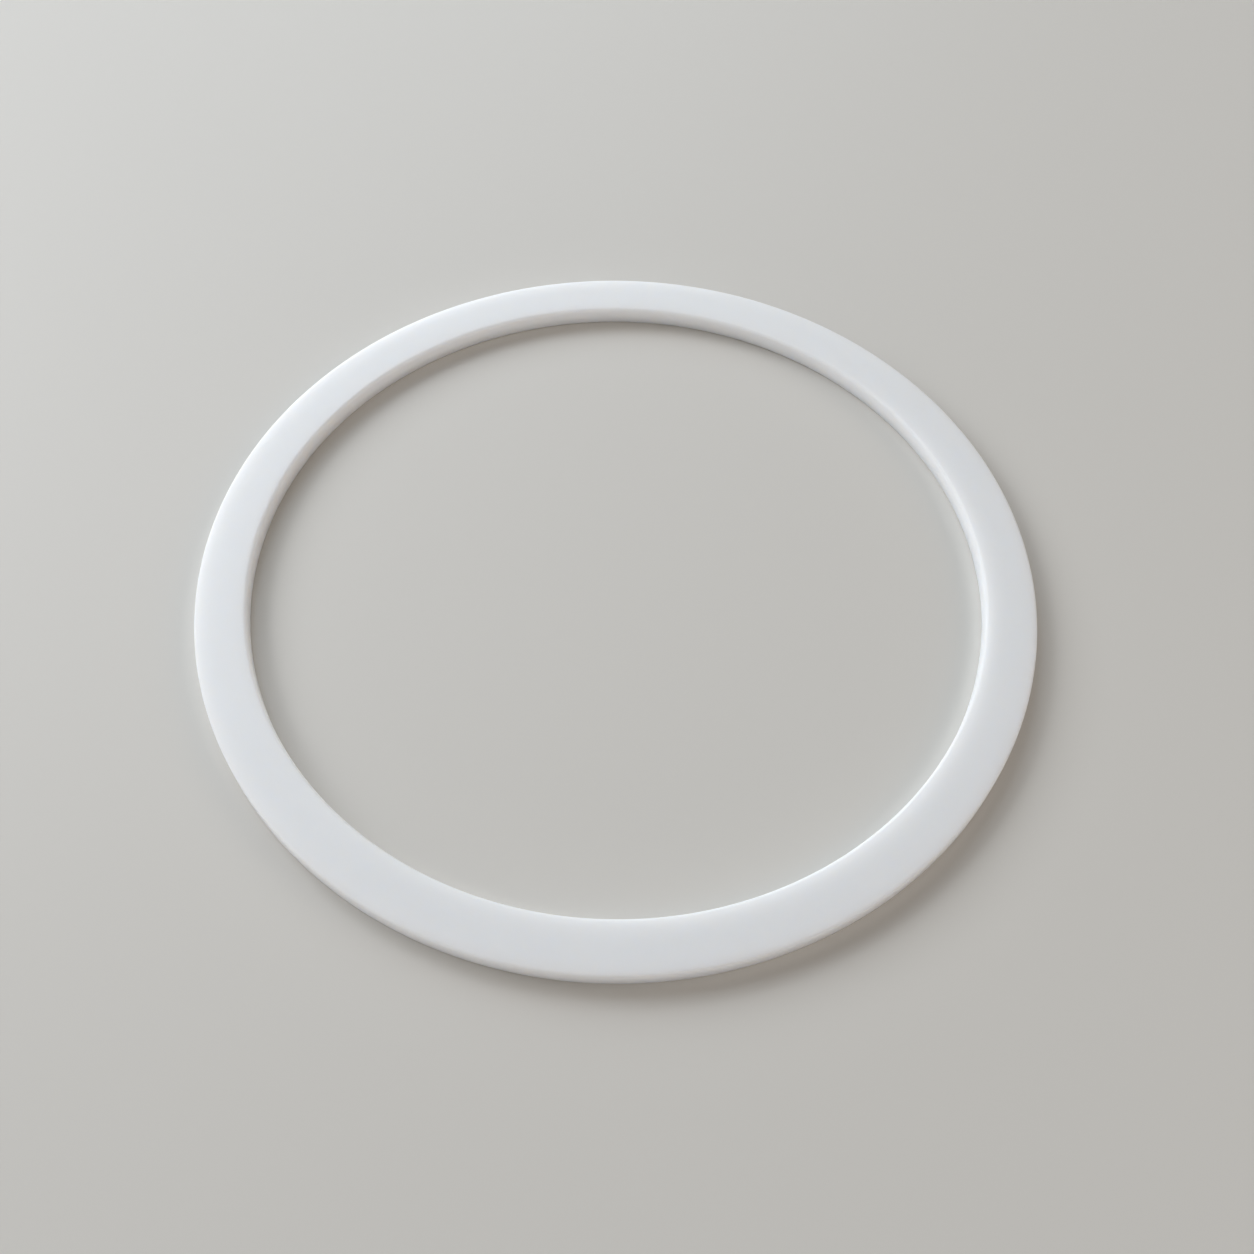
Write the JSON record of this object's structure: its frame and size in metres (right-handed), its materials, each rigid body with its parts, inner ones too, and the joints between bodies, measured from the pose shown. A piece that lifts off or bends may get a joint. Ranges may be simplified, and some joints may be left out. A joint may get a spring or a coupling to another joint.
{
  "type": "ptfe ring",
  "caption": "Flat white PTFE sealing ring: a thin, narrow, one-piece annulus with a wide round bore, two flat sealing faces and softly broken edges.",
  "frame": {"origin": "middle of the bore on the back face, which the ring lies on", "axes": "+Z along the bore, from the back face to the front face; the ring is alike all round, so X and Y are any two directions across it"},
  "size_m": [0.1, 0.1, 0.0025],
  "materials": {
    "ptfe": "smooth, waxy satin white, slightly translucent"
  },
  "bodies": {
    "root": {"sealing_ring": "ptfe"}
  },
  "joints": []
}
